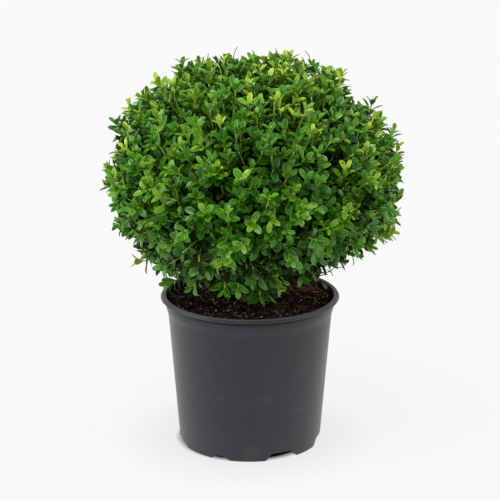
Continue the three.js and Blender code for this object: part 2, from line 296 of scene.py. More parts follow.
class Nodes:
    """A node tree with short ways to add nodes and wires.

    An operand is another node's output or a plain value.
    """

    def __init__(self, tree: bpy.types.NodeTree) -> None:
        """Keeps the tree."""
        self.tree = tree

    def add(self, kind: str, **settings: object) -> bpy.types.Node:
        """Adds a node; settings are its own properties."""
        node = self.tree.nodes.new(kind)
        for key, value in settings.items():
            setattr(node, key, value)
        return node

    def wire(self, source: Output, target: Output) -> None:
        """Joins an output to an input."""
        self.tree.links.new(source, target)

    def feed(self, node: bpy.types.Node, operands: dict[str | int, object]) -> None:
        """Gives a node's inputs, by name or number, their operands."""
        for key, operand in operands.items():
            if isinstance(operand, bpy.types.NodeSocket):
                self.wire(operand, node.inputs[key])
            else:
                node.inputs[key].default_value = operand

    def place(self) -> Output:
        """Object coordinates, which stay with the piece."""
        return self.add("ShaderNodeTexCoord").outputs["Object"]

    def split(self, vector: Output) -> Sockets:
        """The X, Y and Z of a vector."""
        node = self.add("ShaderNodeSeparateXYZ")
        self.wire(vector, node.inputs["Vector"])
        return node.outputs

    def join(self, **parts: object) -> Output:
        """A vector of the given X, Y and Z; a part that is left out is zero."""
        node = self.add("ShaderNodeCombineXYZ")
        self.feed(node, parts)
        return node.outputs["Vector"]

    def noise(self, vector: Output, scale: object, detail: float) -> Output:
        """Adds a noise pattern and gives its value."""
        node = self.add("ShaderNodeTexNoise")
        self.feed(node, {"Vector": vector, "Scale": scale, "Detail": detail})
        return node.outputs["Fac"]

    def spread(self, value: Output, source: Span, target: Span) -> Output:
        """Maps a value from one range to another, held at both ends."""
        node = self.add("ShaderNodeMapRange")
        keys = ("Value", "From Min", "From Max", "To Min", "To Max")
        self.feed(node, dict(zip(keys, (value, *source, *target))))
        return node.outputs["Result"]

    def math(self, operation: str, first: object, second: object = 0.0) -> Output:
        """Adds a sum of one or two operands."""
        node = self.add("ShaderNodeMath", operation=operation)
        self.feed(node, {0: first, 1: second})
        return node.outputs["Value"]

    def blend(self, *parts: tuple[Output, float]) -> Output:
        """Sum of values, each times its weight."""
        scaled = [self.math("MULTIPLY", value, weight) for value, weight in parts]
        total = scaled[0]
        for part in scaled[1:]:
            total = self.math("ADD", total, part)
        return total

    def mix(self, factor: object, first: object, second: object) -> Output:
        """Mixes two colours by a factor; inputs 6 and 7 are the node's colour inputs."""
        node = self.add("ShaderNodeMix", data_type="RGBA")
        self.feed(node, {"Factor": factor, 6: first, 7: second})
        return node.outputs[2]

    def bump(self, shader: bpy.types.Node, height: Output, depth: float) -> None:
        """Feeds a height through a Bump node into the shader's normal."""
        node = self.add("ShaderNodeBump")
        self.feed(node, {"Height": height, "Distance": depth})
        self.wire(node.outputs["Normal"], shader.inputs["Normal"])

    def group(self, tree: bpy.types.NodeTree, **values: object) -> Sockets:
        """Places a shader group, sets its inputs and gives its outputs."""
        node = self.add("ShaderNodeGroup", node_tree=tree)
        self.feed(node, values)
        return node.outputs


def new_group(
    name: str, inputs: dict[str, Socket], outputs: dict[str, Socket]
) -> tuple[Nodes, Sockets, Sockets]:
    """Starts a shader node group with named sockets.

    Args:
        name: The group's name.
        inputs: Input names with their kinds.
        outputs: Output names with their kinds.

    Returns:
        The group's nodes, what it is given and what it gives out.
    """
    tree = bpy.data.node_groups.new(name, "ShaderNodeTree")
    for way, sockets in (("INPUT", inputs), ("OUTPUT", outputs)):
        for key, kind in sockets.items():
            tree.interface.new_socket(key, in_out=way, socket_type=kind.value)
    group = Nodes(tree)
    given = group.add("NodeGroupInput").outputs
    return group, given, group.add("NodeGroupOutput").inputs


def mottle_group() -> bpy.types.NodeTree:
    """Uneven colour: broad and fine noise move a colour between two tones.

    Returns:
        The group: Light and Dark colours, Broad and Fine scales in; Color and Mask out.
    """
    group, given, out = new_group(
        "mottle",
        {
            "Light": Socket.COLOR,
            "Dark": Socket.COLOR,
            "Broad": Socket.VALUE,
            "Fine": Socket.VALUE,
        },
        {"Color": Socket.COLOR, "Mask": Socket.VALUE},
    )
    place_in = group.place()
    broad, fine = (group.noise(place_in, given[key], 3.0) for key in ("Broad", "Fine"))
    mask = group.spread(group.blend((broad, 0.6), (fine, 0.4)), (0.36, 0.64), (0.0, 1.0))
    group.wire(mask, out["Mask"])
    group.wire(group.mix(mask, given["Dark"], given["Light"]), out["Color"])
    return group.tree


def leaf_group() -> bpy.types.NodeTree:
    """Leaf surface: a paler midrib and rim from the leaf's own chart, with soft mottling.

    The chart runs from root to tip in U and from side to side in V.

    Returns:
        The group: Blade and Rib colours in; Color, Roughness and Height out.
    """
    group, given, out = new_group(
        "leaf surface",
        {"Blade": Socket.COLOR, "Rib": Socket.COLOR},
        {"Color": Socket.COLOR, "Roughness": Socket.VALUE, "Height": Socket.VALUE},
    )
    across = group.split(group.add("ShaderNodeUVMap", uv_map=CHART).outputs["UV"])["Y"]
    side = group.math("ABSOLUTE", group.math("SUBTRACT", across, 0.5))
    rib = group.spread(side, (0.015, 0.075), (1.0, 0.0))
    rim = group.spread(side, (0.32, 0.45), (0.0, 1.0))
    place_in = group.place()
    grain = group.noise(place_in, 520.0, 2.0)
    cloud = group.spread(group.noise(place_in, 24.0, 2.0), (0.42, 0.66), (0.0, 0.16))
    pale = group.math("ADD", group.blend((rib, 0.62), (rim, 0.74)), cloud)
    speck = group.spread(grain, (0.3, 0.6), (0.22, 0.0))
    blade = group.mix(speck, given["Blade"], DARK_SPECK)
    group.wire(group.mix(pale, blade, given["Rib"]), out["Color"])
    group.wire(group.spread(grain, (0.3, 0.7), (0.22, 0.36)), out["Roughness"])
    group.wire(group.math("ADD", rib, group.math("MULTIPLY", grain, 0.3)), out["Height"])
    return group.tree


def relief_group() -> bpy.types.NodeTree:
    """Relief: broad, middle and fine noise summed for a bump's height.

    Returns:
        The group: Scale and Stretch in; Height out.
    """
    group, given, out = new_group(
        "relief", {"Scale": Socket.VALUE, "Stretch": Socket.VALUE}, {"Height": Socket.VALUE}
    )
    parts = group.split(group.place())
    upward = group.math("MULTIPLY", parts["Z"], given["Stretch"])
    place_in = group.join(X=parts["X"], Y=parts["Y"], Z=upward)
    layers = []
    for share, weight in ((0.25, 0.5), (1.0, 0.35), (4.0, 0.15)):
        scale = group.math("MULTIPLY", given["Scale"], share)
        layers.append((group.noise(place_in, scale, 2.0), weight))
    group.wire(group.blend(*layers), out["Height"])
    return group.tree


class Kit:
    """The shader groups and the materials, each built once."""

    def __init__(self) -> None:
        """Builds the groups."""
        self.mottle = mottle_group()
        self.leaf = leaf_group()
        self.relief = relief_group()
        self.made: dict[str, bpy.types.Material] = {}

    def dress(self, finish: "LeafTone | MottledFinish") -> bpy.types.Material:
        """The material of a finish, made at its first use."""
        if finish.name not in self.made:
            self.made[finish.name] = finish.material(self)
        return self.made[finish.name]


def start_material(name: str) -> tuple[bpy.types.Material, Nodes, bpy.types.Node]:
    """A material with its tree and its Principled shader."""
    material = bpy.data.materials.new(name)
    material.use_nodes = True
    nodes = Nodes(material.node_tree)
    return material, nodes, material.node_tree.nodes["Principled BSDF"]


# ------------------------------------------------------------------ finishes


@dataclass(frozen=True)
class LeafTone:
    """One plain leaf colour, dealt out by spray."""

    name: str
    blade: Color
    rib: Color
    back: Color
    sheen: float

    def material(self, kit: Kit) -> bpy.types.Material:
        """The leaf's material: leathery, softly glossy, paler and duller below.

        Args:
            kit: The shader groups.

        Returns:
            The material.
        """
        material, nodes, shader = start_material(f"leaf_{self.name}")
        leaf = nodes.group(kit.leaf, Blade=self.blade, Rib=self.rib)
        facing = nodes.add("ShaderNodeNewGeometry").outputs["Backfacing"]
        duller = nodes.math("MULTIPLY", facing, 0.3)
        look = {
            "Base Color": nodes.mix(facing, leaf["Color"], self.back),
            "Roughness": nodes.math("ADD", leaf["Roughness"], duller),
            "Specular IOR Level": self.sheen,
        }
        nodes.feed(shader, look)
        nodes.bump(shader, leaf["Height"], 0.25 * MM)
        return material


@dataclass(frozen=True)
class MottledFinish:
    """A two-tone finish with relief: plastic, bark, compost, grains or chips.

    Broad, fine and relief are noise scales, stretch is the relief's scale along Z as a
    share of that across, and depth is the relief's depth.
    """

    name: str
    light: Color
    dark: Color
    roughness: float
    broad: float
    fine: float
    relief: float
    depth: float
    stretch: float = 1.0
    specular: float = 0.4
    swing: float = 0.06

    def material(self, kit: Kit) -> bpy.types.Material:
        """The finish's material.

        Args:
            kit: The shader groups.

        Returns:
            The material.
        """
        material, nodes, shader = start_material(self.name)
        mottle = nodes.group(
            kit.mottle, Light=self.light, Dark=self.dark, Broad=self.broad, Fine=self.fine
        )
        ends = (self.roughness + self.swing, self.roughness - self.swing)
        look = {
            "Base Color": mottle["Color"],
            "Roughness": nodes.spread(mottle["Mask"], (0.0, 1.0), ends),
            "Specular IOR Level": self.specular,
        }
        nodes.feed(shader, look)
        relief = nodes.group(kit.relief, Scale=self.relief, Stretch=self.stretch)
        nodes.bump(shader, relief["Height"], self.depth)
        return material


DARK_SPECK = (0.0, 0.01, 0.0, 1.0)
# The darker tones, shaded most of all, go to deep shoots as painted shade.
TONES = (
    LeafTone("shaded", linear(24, 40, 5), linear(50, 70, 18), linear(46, 54, 16), 0.12),
    LeafTone("deep", linear(26, 72, 5), linear(70, 122, 30), linear(60, 98, 24), 0.26),
    LeafTone("mature", linear(38, 99, 7), linear(98, 158, 44), linear(76, 126, 32), 0.36),
    LeafTone("green", linear(55, 125, 10), linear(128, 184, 54), linear(98, 150, 38), 0.41),
    LeafTone("bright", linear(92, 152, 15), linear(166, 208, 68), linear(128, 171, 48), 0.42),
    LeafTone("lime", linear(156, 195, 29), linear(202, 222, 90), linear(174, 198, 66), 0.42),
)
POT_PLASTIC = MottledFinish(
    "pot_plastic", linear(26, 26, 36), linear(20, 20, 29), roughness=0.40,
    broad=9.0, fine=260.0, relief=900.0, depth=0.18 * MM, specular=0.51,
)
COMPOST = MottledFinish(
    "compost_crumb", linear(38, 29, 21), linear(2, 2, 2), roughness=0.88,
    broad=110.0, fine=700.0, relief=420.0, depth=1.2 * MM, specular=0.15,
)
CRUMB = MottledFinish(
    "peat_crumb", linear(92, 70, 50), linear(7, 5, 4), roughness=0.86,
    broad=120.0, fine=700.0, relief=420.0, depth=1.2 * MM, specular=0.2,
)
PERLITE = MottledFinish(
    "pale_grain", linear(222, 206, 176), linear(146, 126, 98), roughness=0.8,
    broad=200.0, fine=900.0, relief=900.0, depth=0.4 * MM,
)
CHIP = MottledFinish(
    "bark_chip", linear(142, 98, 64), linear(66, 42, 28), roughness=0.8,
    broad=90.0, fine=600.0, relief=500.0, depth=0.5 * MM,
)
DRY = MottledFinish(
    "dry_leaf", linear(200, 186, 150), linear(134, 120, 90), roughness=0.8,
    broad=70.0, fine=600.0, relief=500.0, depth=0.3 * MM,
)
STEM_BARK = MottledFinish(
    "stem_bark", linear(78, 64, 48), linear(32, 25, 19), roughness=0.88,
    broad=60.0, fine=420.0, relief=260.0, depth=0.8 * MM, stretch=0.25,
)
BARK = MottledFinish(
    "bark", linear(140, 122, 94), linear(70, 56, 42), roughness=0.85,
    broad=60.0, fine=420.0, relief=260.0, depth=0.8 * MM, stretch=0.25,
)
SHOOT_BARK = MottledFinish(
    "young_bark", linear(140, 112, 68), linear(96, 68, 44), roughness=0.7,
    broad=60.0, fine=420.0, relief=400.0, depth=0.3 * MM, stretch=0.4,
)
DEAD_TWIG = MottledFinish(
    "dead_twig", linear(112, 114, 78), linear(72, 70, 46), roughness=0.8,
    broad=60.0, fine=420.0, relief=400.0, depth=0.3 * MM, stretch=0.4, specular=0.2,
)
GREEN_STEM = MottledFinish(
    "green_stem", linear(190, 226, 84), linear(156, 190, 60), roughness=0.5,
    broad=60.0, fine=500.0, relief=500.0, depth=0.2 * MM, stretch=0.4,
)


# ------------------------------------------------------------------ pot


# The rolled lip in millimetres: in from the rim, down from the top, reach of the rounding.
LIP_ROLL = ((1.3, 1.0, 0.5), (2.4, 0.3, 0.5), (4.4, 0.7, 0.6), (5.5, 0.0, 0.5), (6.5, 0.7, 0.5))


@dataclass
class Pot:
    """The nursery pot: a thin turned shell with a rolled lip, a collar and seven notches.

    The notches are trapezoids in the foot ring, one of them smaller. Painted shade darkens the
    groove under the lip. The rim's edge is painted pale, partly as wear and partly as a painted
    highlight, and its bead carries a painted highlight.
    """

    rim_radius: float
    height: float
    base_radius: float = 89.2 * MM
    shoulder_radius: float = 102.8 * MM
    shoulder_z: float = 171.5 * MM
    collar_radius: float = 105.8 * MM
    collar_z: float = 174.2 * MM
    lip_drop: float = 4.0 * MM
    wall: float = 1.8 * MM
    foot_height: float = 9.6 * MM
    foot_ring: float = 15 * MM
    notches: int = 7
    first_notch: float = 27.0
    notch_half_roof: float = 14.6 * MM
    notch_half_floor: float = 22.1 * MM
    small_notch: int = 6
    small_half_roof: float = 5.2 * MM
    small_half_floor: float = 12.4 * MM
    small_height: float = 4.9 * MM
    columns: int = 392
    arc_points: int = 7
    longest_edge: float = 5 * MM
    dusty_foot: Span = (0.0, 50 * MM)
    # Heights where the painted shade under the lip fades in and fades out.
    shade_starts: Span = (181.2 * MM, 186.0 * MM)
    shade_ends: Span = (187.7 * MM, 188.2 * MM)
    # Heights of the rim's top band, painted pale partly as wear and partly as a painted highlight.
    rim_highlight_and_wear: Span = (190.6 * MM, 191.4 * MM)
    bead_z: float = 188.8 * MM
    # Reach of the bead's painted highlight from the bead's height.
    bead_highlight: Span = (0.4 * MM, 0.8 * MM)
    dust: Color = linear(92, 90, 88)
    # Colour of the painted shade under the lip.
    shade: Color = linear(12, 12, 14)
    # Pale colour of the painted highlights on the rim and bead, and of the rim's wear.
    highlight_and_wear: Color = linear(92, 91, 96)
    # Gloss inside the painted shade under the lip.
    shaded_gloss: float = 0.08

    def corners(self) -> list[tuple[float, float, float]]:
        """Corners of the profile, from under the base, over the lip and down inside.

        Returns:
            Radius and height in metres, and the reach of the rounding in millimetres.
        """
        rim, top = self.rim_radius, self.height
        lip, groove = top - self.lip_drop, top - self.wall
        skirt_inside = rim - self.wall
        foot_inside = self.base_radius - self.foot_ring
        foot = [
            (foot_inside - 2 * MM, self.foot_height, 1.0),
            (foot_inside, 0.0, 0.8),
            (self.base_radius - 0.2 * MM, 0.0, 1.2),
        ]
        outside = [
            (self.shoulder_radius - 0.3 * MM, self.shoulder_z - 4 * MM, 4.5),
            (self.collar_radius - 0.3 * MM, self.collar_z + 3 * MM, 3.5),
            (self.collar_radius + 0.4 * MM, groove, 0.3),
            (skirt_inside, groove, 0.4),
            (skirt_inside + 0.1 * MM, lip, 0.4),
            (rim, lip, 0.4),
            (rim, lip + 0.9 * MM, 0.4),
            (rim - 1.1 * MM, lip + 1.7 * MM, 0.4),
        ]
        rolled = [(rim - inward * MM, top - down * MM, reach) for inward, down, reach in LIP_ROLL]
        inside = [
            (self.collar_radius - self.wall, self.collar_z, 1.0),
            (self.shoulder_radius - self.wall, self.shoulder_z - 1 * MM, 1.0),
            (self.base_radius - self.wall, self.wall, 2.0),
            (foot_inside + self.wall, self.wall, 1.0),
            (foot_inside - 2 * MM, self.foot_height + self.wall, 1.0),
        ]
        return foot + outside + rolled + inside

    def profile(self) -> np.ndarray:
        """The whole profile, with each corner c rounded by a short curve.

        With b and a the points at the rounding's reach before and after the corner, the
        curve is (1 - t)^2 b + 2 t (1 - t) c + t^2 a.

        Returns:
            Radius and height pairs, shape (count, 2).
        """
        corners = np.array(self.corners())
        spots, reach = corners[:, :2], corners[:, 2:] * MM
        start = np.array([[0.0, self.foot_height]])
        end = np.array([[0.0, self.foot_height + self.wall]])
        before = np.concatenate([start, spots[:-1]])
        after = np.concatenate([spots[1:], end])
        near = (spots + unit(before - spots) * reach)[:, None]
        far = (spots + unit(after - spots) * reach)[:, None]
        share = np.linspace(0, 1, self.arc_points)[None, :, None]
        arc = (1 - share) ** 2 * near + 2 * share * (1 - share) * spots[:, None] + share**2 * far
        return fill_in(np.concatenate([start, arc.reshape(-1, 2), end]), self.longest_edge)

    def notch_height(self, angle: np.ndarray) -> np.ndarray:
        """Height of the notches' roof round the foot ring, zero at the feet.

        Each notch is a trapezoid in the arc length from its middle.

        Args:
            angle: Angles round the pot in radians, from +X.

        Returns:
            Heights in metres.
        """
        roof = np.zeros_like(angle)
        common = (self.foot_height, self.notch_half_roof, self.notch_half_floor)
        smaller = (self.small_height, self.small_half_roof, self.small_half_floor)
        for index in range(self.notches):
            top, low, high = smaller if index == self.small_notch else common
            middle = math.radians(self.first_notch + index * 360 / self.notches - 90)
            turn = (angle - middle + math.pi) % (2 * math.pi) - math.pi
            arc = np.abs(turn) * self.base_radius
            roof = np.maximum(roof, top * np.clip((high - arc) / (high - low), 0, 1))
        return roof

    def shell(self) -> Shell:
        """The pot's surface: the turned profile, with the foot ring raised at the notches.

        Returns:
            A closed shell.
        """
        profile = self.profile()
        angle = np.linspace(0, 2 * np.pi, self.columns, endpoint=False)
        radius = np.repeat(profile[:, :1], self.columns, 1)
        height = np.repeat(profile[:, 1:], self.columns, 1)
        roof = self.notch_height(angle)[None, :]
        widest = int(np.argmax(profile[:, 0] > self.rim_radius - 0.2 * MM))
        outside = (np.arange(len(profile)) < widest)[:, None]
        floor = np.where(outside, roof, roof + self.wall)
        height = np.where(height < floor, floor, height)
        rise = np.clip((height - profile[:, 1:]) / self.shoulder_z, 0, 1)
        at_wall = radius > self.base_radius - 3 * MM
        radius = radius + np.where(at_wall, rise * (self.shoulder_radius - self.base_radius), 0)
        return turned_shell(radius, height)

    def material(self, kit: Kit) -> bpy.types.Material:
        """Black plastic: faint scuffs, a dusty foot, painted shade under the lip, and a rim and
        bead painted pale, the rim as wear and painted highlight, the bead as a painted highlight.

        Args:
            kit: The shader groups.

        Returns:
            The material.
        """
        material = kit.dress(POT_PLASTIC)
        nodes = Nodes(material.node_tree)
        shader = material.node_tree.nodes["Principled BSDF"]
        plain = shader.inputs["Base Color"].links[0].from_socket
        place_in = nodes.place()
        parts = nodes.split(place_in)
        low = nodes.spread(parts["Z"], self.dusty_foot, (0.06, 0.0))
        scuff = nodes.spread(nodes.noise(place_in, 38.0, 6.0), (0.60, 0.74), (0.0, 0.12))
        color = nodes.mix(nodes.math("ADD", low, scuff), plain, self.dust)
        # Painted shade: the band under the lip is darkened in colour and made less glossy, standing
        # in for the lip's shadow.
        under = nodes.spread(parts["Z"], self.shade_starts, (0.0, 1.0))
        lit = nodes.spread(parts["Z"], self.shade_ends, (0.90, 0.0))
        under = nodes.math("MULTIPLY", under, lit)
        color = nodes.mix(under, color, self.shade)
        level = nodes.join(X=parts["X"], Y=parts["Y"])
        out = nodes.add("ShaderNodeVectorMath", operation="LENGTH")
        nodes.wire(level, out.inputs[0])
        # Painted highlight: the rim's top edge, partly as wear, and the bead under the lip are
        # mixed towards a pale colour.
        lip = (self.rim_radius - 4.8 * MM, self.rim_radius - 3.2 * MM)
        edge = nodes.spread(out.outputs["Value"], lip, (0.95, 0.85))
        edge = nodes.math("MULTIPLY", nodes.spread(parts["Z"], self.rim_highlight_and_wear, (0.0, 1.0)), edge)
        bead = nodes.math("ABSOLUTE", nodes.math("SUBTRACT", parts["Z"], self.bead_z))
        edge = nodes.math("ADD", edge, nodes.spread(bead, self.bead_highlight, (0.38, 0.0)))
        look = {
            "Base Color": nodes.mix(edge, color, self.highlight_and_wear),
            "Specular IOR Level": nodes.spread(
                under, (0.0, 0.9), (POT_PLASTIC.specular, self.shaded_gloss)
            ),
            "Sheen Weight": 0.10,
            "Sheen Roughness": 0.45,
        }
        nodes.feed(shader, look)
        return material

    def build(self, kit: Kit) -> None:
        """Makes and dresses the pot."""
        add_piece("nursery_pot", self.shell(), self.material(kit), "pot")


# ------------------------------------------------------------------ compost


@dataclass(frozen=True)
class Strewn:
    """One kind of small lump on the compost.

    Smallest and largest are radii in millimetres; flat and long are the lump's height and
    length as shares of its radius; a heap's middle is in millimetres, and without one the
    lumps lie all over the top.
    """

    name: str
    finish: MottledFinish
    count: int
    smallest: float
    largest: float
    flat: float
    long: float
    seed: int
    heap: tuple[float, float] | None = None


STREWN = (
    Strewn("fine_crumbs", COMPOST, 5200, 0.6, 1.5, 0.8, 1.2, 11),
    Strewn("coarse_crumbs", CRUMB, 1300, 0.9, 2.2, 0.75, 1.4, 12),
    Strewn("pale_grains", PERLITE, 260, 0.5, 1.6, 0.8, 1.1, 13),
    Strewn("bark_chips", CHIP, 210, 1.0, 2.6, 0.4, 2.4, 14),
    Strewn("bark_heap", CHIP, 150, 0.9, 2.8, 0.6, 2.0, 15, (76, 48)),
)
# Swells of the compost's top: height in millimetres, wavelength in millimetres and seed.
SWELLS = ((1.5, 42, 1), (0.8, 15, 2), (0.45, 6, 3))
# The dry straw's points and radii, and the dry leaf's root and tip, in millimetres.
STRAW = ((77, 23, 185.5), (81, 21, 186.4), (85, 19, 186.2), (88.5, 17.5, 186.8))
STRAW_RADII = (0.5, 0.6, 0.5, 0.4)
DRY_LEAF_ROOT = (91.6, 46.0, 190.8)
DRY_LEAF_TIP = (100.6, 21.0, 187.6)
DRY_LEAF_FACING = (-0.55, -0.55, 0.62)


def round_lump() -> tuple[np.ndarray, np.ndarray]:
    """A ball of twenty triangles: corners (0, +-1, +-g) and their turns, g the golden ratio.

    Returns:
        Its twelve corners at length one, and its faces, which look outwards.
    """
    golden = (1 + math.sqrt(5)) / 2
    signs = np.array([(a, b) for a in (-1, 1) for b in (-golden, golden)])
    short, tall, zero = signs[:, 0], signs[:, 1], np.zeros(4)
    turns = ((zero, short, tall), (short, tall, zero), (tall, zero, short))
    ball = unit(np.concatenate([np.stack(turn, -1) for turn in turns]))
    apart = np.linalg.norm(ball[:, None] - ball[None], axis=-1)
    close = (apart > 0.1) & (apart < 1.2)
    index = np.arange(len(ball))
    a, b, c = np.meshgrid(index, index, index, indexing="ij")
    found = (a < b) & (b < c) & close[a, b] & close[b, c] & close[a, c]
    faces = np.stack([a[found], b[found], c[found]], -1)
    first, second, third = (ball[faces[:, corner]] for corner in range(3))
    wrong = (np.cross(second - first, third - first) * first).sum(-1) < 0
    faces[wrong] = faces[wrong][:, ::-1]
    return ball, faces


@dataclass
class Compost:
    """The compost: a lumpy top in a plain body, with crumbs, pale grains and chips on it."""

    low: np.ndarray
    high: np.ndarray
    level: float = 182 * MM
    bed: float = 10 * MM
    rows: int = 90
    columns: int = 300
    margin: float = 2.5 * MM
    heap_spread: float = 15 * MM

    def radius(self) -> float:
        """Radius of the top, a little inside the pot's wall."""
        return float(self.high[0])

    def top(self, x: np.ndarray, y: np.ndarray) -> np.ndarray:
        """Height of the top: swells over the level, and a bank that rises to the wall.

        Args:
            x: Places along X.
            y: Places along Y.

        Returns:
            Heights in metres.
        """
        places = np.stack([x, y, np.zeros_like(x)], -1)
        rough = sum(height * waves(places, length * MM, seed) for height, length, seed in SWELLS)
        bank = np.clip((np.hypot(x, y) / self.radius() - 0.72) / 0.28, 0, 1) ** 2
        return self.level + (rough + 3.2 * bank) * MM

    def body(self) -> Shell:
        """The body: a turned shell whose top rows follow the lumpy height.

        Returns:
            A closed shell.
        """
        angle = np.linspace(0, 2 * np.pi, self.columns, endpoint=False)[None, :]
        out = np.linspace(1, 0, self.rows)[:, None] ** 0.8 * self.radius()
        radius = np.repeat(out, self.columns, 1)
        height = self.top(radius * np.cos(angle), radius * np.sin(angle))
        height[-1] = height[-1].mean()
        bottom = self.low[2] + self.bed
        under = np.array([(0.0, bottom), (84 * MM, bottom), (98 * MM, self.level - 20 * MM)])
        low_radius, low_height = (np.repeat(under[:, [side]], self.columns, 1) for side in (0, 1))
        radius = np.concatenate([low_radius, radius])
        return turned_shell(radius, np.concatenate([low_height, height]))

    def lumps(self, kind: Strewn) -> Shell:
        """Small rough lumps on the top: twenty-faced balls, stretched, turned and dented.

        Args:
            kind: What they are.

        Returns:
            All lumps in one shell.
        """
        rng = np.random.default_rng(kind.seed)
        ball, faces = round_lump()
        size = rng.uniform(kind.smallest * MM, kind.largest * MM, kind.count)
        reach = np.sqrt(rng.uniform(0.04, 1, kind.count)) * (self.radius() - self.margin)
        turn = rng.uniform(0, 2 * np.pi, kind.count)
        spot = np.stack([reach * np.cos(turn), reach * np.sin(turn)], -1)
        if kind.heap is not None:
            spot = np.array(kind.heap) * MM + rng.normal(size=(kind.count, 2)) * self.heap_spread
        sunk = size * rng.uniform(0.0, 0.5, kind.count) * kind.flat
        height = self.top(spot[:, 0], spot[:, 1]) + sunk
        shape = ball[None] * (1 + rng.uniform(-0.28, 0.28, (kind.count, len(ball), 1)))
        shape = shape * np.array([kind.long, 1.0, kind.flat]) * size[:, None, None]
        spin = rng.uniform(0, 2 * np.pi, kind.count)
        cos, sin = np.cos(spin)[:, None], np.sin(spin)[:, None]
        x = shape[..., 0] * cos - shape[..., 1] * sin
        y = shape[..., 0] * sin + shape[..., 1] * cos
        z = shape[..., 2] + x * rng.uniform(-0.3, 0.3, (kind.count, 1))
        points = np.stack([x + spot[:, :1], y + spot[:, 1:], z + height[:, None]], -1)
        inside = np.hypot(points[..., 0], points[..., 1]).max(1) < self.radius()
        points = points[inside]
        shift = (np.arange(len(points)) * len(ball))[:, None, None]
        return Shell(points.reshape(-1, 3), [(faces[None] + shift).reshape(-1, 3)])

    def straw(self) -> Shell:
        """A bent dry straw on the top."""
        return swept_tubes(np.array([STRAW]) * MM, np.array([STRAW_RADII]) * MM, 8)

    def dry_leaf(self) -> Shell:
        """A fallen leaf that leans on the pot's wall at the back."""
        root, tip = np.array([DRY_LEAF_ROOT]) * MM, np.array([DRY_LEAF_TIP]) * MM
        leaf = Leaves(
            root=root,
            heading=unit(tip - root),
            facing=unit(np.array([DRY_LEAF_FACING])),
            length=np.linalg.norm(tip - root, axis=1),
            width=np.array([4.8 * MM]),
            curl=np.array([-0.3]),
            tone=np.array([0]),
        )
        return leaf.shell(LeafShape())

    def build(self, kit: Kit) -> None:
        """Makes and dresses the compost and what lies on it."""
        pieces = [("compost_body", self.body(), COMPOST)]
        pieces += [(kind.name, self.lumps(kind), kind.finish) for kind in STREWN]
        pieces += [("dry_straw", self.straw(), DRY), ("dry_leaf", self.dry_leaf(), DRY)]
        for name, shell, finish in pieces:
            add_piece(name, shell, kit.dress(finish), "compost")


# ------------------------------------------------------------------ stem and crown


@dataclass
class Stem:
    """The short main stem, with a root flare and fissured bark."""

    foot: float
    height: float = 66 * MM
    foot_radius: float = 9.5 * MM
    tip_radius: float = 6 * MM
    flare: float = 4.5 * MM
    furrow_depth: float = 0.55 * MM
    lean: tuple[float, float] = (5 * MM, -3 * MM)
    rows: int = 90
    columns: int = 96

    def tip(self) -> np.ndarray:
        """The fork at the top of the stem."""
        return np.array([self.lean[0], self.lean[1], self.foot + self.height])

    def shell(self) -> Shell:
        """The barked surface: a flared taper with furrows that run up it, leaning.

        The radius is taper + flare exp(-9 s) lobes - furrows, where the furrows are ridged
        waves stretched along the height; the axis leans with the square of the height.

        Returns:
            A closed shell.
        """
        share = np.concatenate([[0], np.linspace(0, 1, self.rows), [1]])[:, None]
        angle = np.linspace(0, 2 * np.pi, self.columns, endpoint=False)[None, :]
        taper = self.foot_radius + (self.tip_radius - self.foot_radius) * share
        lobes = 0.65 + 0.35 * np.cos(angle * 5 + 0.7)
        radius = taper + self.flare * lobes * np.exp(-share * 9)
        around = np.broadcast_arrays(np.cos(angle), np.sin(angle), share * 1.6)
        furrow = np.abs(waves(np.stack(around, -1), 0.34, 21)) - 0.5
        radius = radius - self.furrow_depth * np.clip(furrow, -0.5, 0.8)
        radius[[0, -1]] = 0
        height = np.repeat(self.foot + self.height * share, self.columns, 1)
        shell = turned_shell(radius, height)
        bend = np.clip((shell.points[:, 2:] - self.foot) / self.height, 0, 1) ** 2
        shell.points[:, :2] += np.array(self.lean) * bend
        return shell

    def build(self, kit: Kit) -> None:
        """Makes and dresses the stem."""
        add_piece("barked_stem", self.shell(), kit.dress(STEM_BARK), "main_stem")


@dataclass(frozen=True)
class LeafShape:
    """Outline of a leaf: broadest past its middle, with a rounded tip."""

    stations: tuple[float, ...] = (0.10, 0.26, 0.45, 0.64, 0.81, 0.94)
    fold: float = 0.40

    def half_width(self, along: np.ndarray) -> np.ndarray:
        """Half width at a share of the length: u^0.85 (1 - u^2.3)^0.66, scaled to one."""
        return along**0.85 * (1 - along**2.3) ** 0.66 / 0.513


